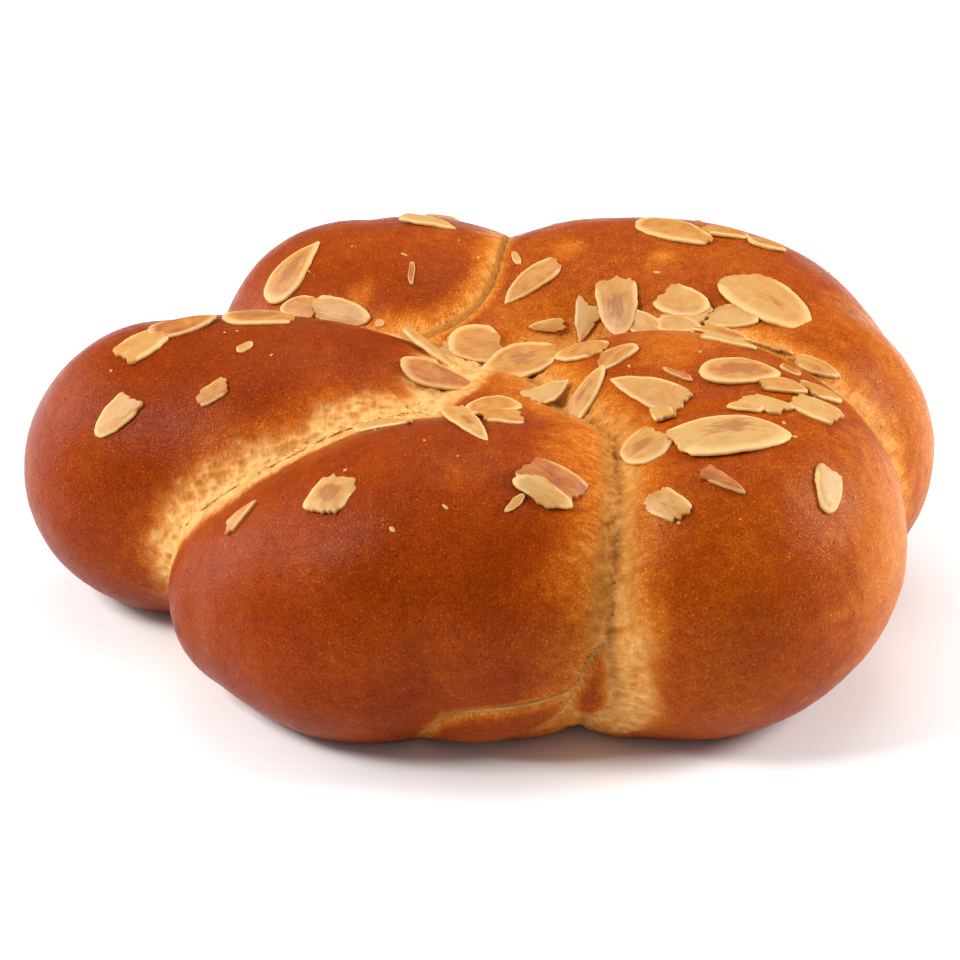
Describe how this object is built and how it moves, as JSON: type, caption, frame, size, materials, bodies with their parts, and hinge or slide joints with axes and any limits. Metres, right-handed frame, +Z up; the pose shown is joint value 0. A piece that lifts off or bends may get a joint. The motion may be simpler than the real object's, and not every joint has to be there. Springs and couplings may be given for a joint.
{
  "type": "plaited raisin bun",
  "caption": "Plaited sweet raisin bun with a glossy brown crust, pale stretched seams between its risen strands and a topping of flaked almonds; a free-standing baked good.",
  "frame": {"origin": "middle of the flat base, on the surface that the bun stands on", "axes": "+X to the right along the longest side, +Y to the back, +Z up; the front, with the deep seam, faces -Y"},
  "size_m": [0.1894, 0.1548, 0.0712],
  "materials": {
    "crust": "egg-washed golden to chestnut brown crust, softly glossy on the crowns, matt and pale in the stretched seams",
    "pale_almond": "matt cream to straw almond slice with a slightly darker middle",
    "toasted_almond": "satin almond slice toasted to gold and light brown"
  },
  "bodies": {
    "root": {"loaf": "crust", "left_flake_1": "toasted_almond", "left_flake_2": "pale_almond", "left_flake_3": "pale_almond", "left_flake_4": "toasted_almond", "left_flake_5": "pale_almond", "rear_left_flake_1": "toasted_almond", "rear_left_flake_2": "pale_almond", "rear_left_flake_3": "pale_almond", "rear_left_flake_4": "toasted_almond", "middle_flake_1": "toasted_almond", "middle_flake_2": "pale_almond", "middle_flake_3": "pale_almond", "middle_flake_4": "toasted_almond", "middle_flake_5": "pale_almond", "front_flake_1": "toasted_almond", "front_flake_2": "pale_almond", "front_flake_3": "pale_almond", "front_flake_4": "toasted_almond", "front_flake_5": "pale_almond", "front_flake_6": "pale_almond", "front_flake_7": "toasted_almond", "right_flake_1": "toasted_almond", "right_flake_2": "pale_almond", "right_flake_3": "pale_almond", "right_flake_4": "toasted_almond", "right_flake_5": "pale_almond", "right_flake_6": "pale_almond", "right_flake_7": "toasted_almond", "right_flake_8": "pale_almond", "right_flake_9": "pale_almond", "right_flake_10": "toasted_almond", "right_flake_11": "pale_almond", "right_flake_12": "pale_almond", "right_flake_13": "toasted_almond", "right_flake_14": "pale_almond", "right_flake_15": "pale_almond", "right_flake_16": "toasted_almond", "rear_right_flake_1": "toasted_almond", "rear_right_flake_2": "pale_almond", "rear_right_flake_3": "pale_almond", "rear_right_flake_4": "toasted_almond", "rear_right_flake_5": "pale_almond", "rear_right_flake_6": "pale_almond", "rear_right_flake_7": "toasted_almond", "rear_right_flake_8": "pale_almond", "rear_right_flake_9": "pale_almond", "rear_right_flake_10": "toasted_almond", "rear_right_flake_11": "pale_almond", "rear_right_flake_12": "pale_almond", "rear_right_flake_13": "toasted_almond", "rear_right_flake_14": "pale_almond", "rear_right_flake_15": "pale_almond", "rear_right_flake_16": "toasted_almond", "back_flake_1": "toasted_almond", "back_flake_2": "pale_almond", "back_flake_3": "pale_almond", "back_flake_4": "toasted_almond", "back_flake_5": "pale_almond", "back_flake_6": "pale_almond"}
  },
  "joints": []
}
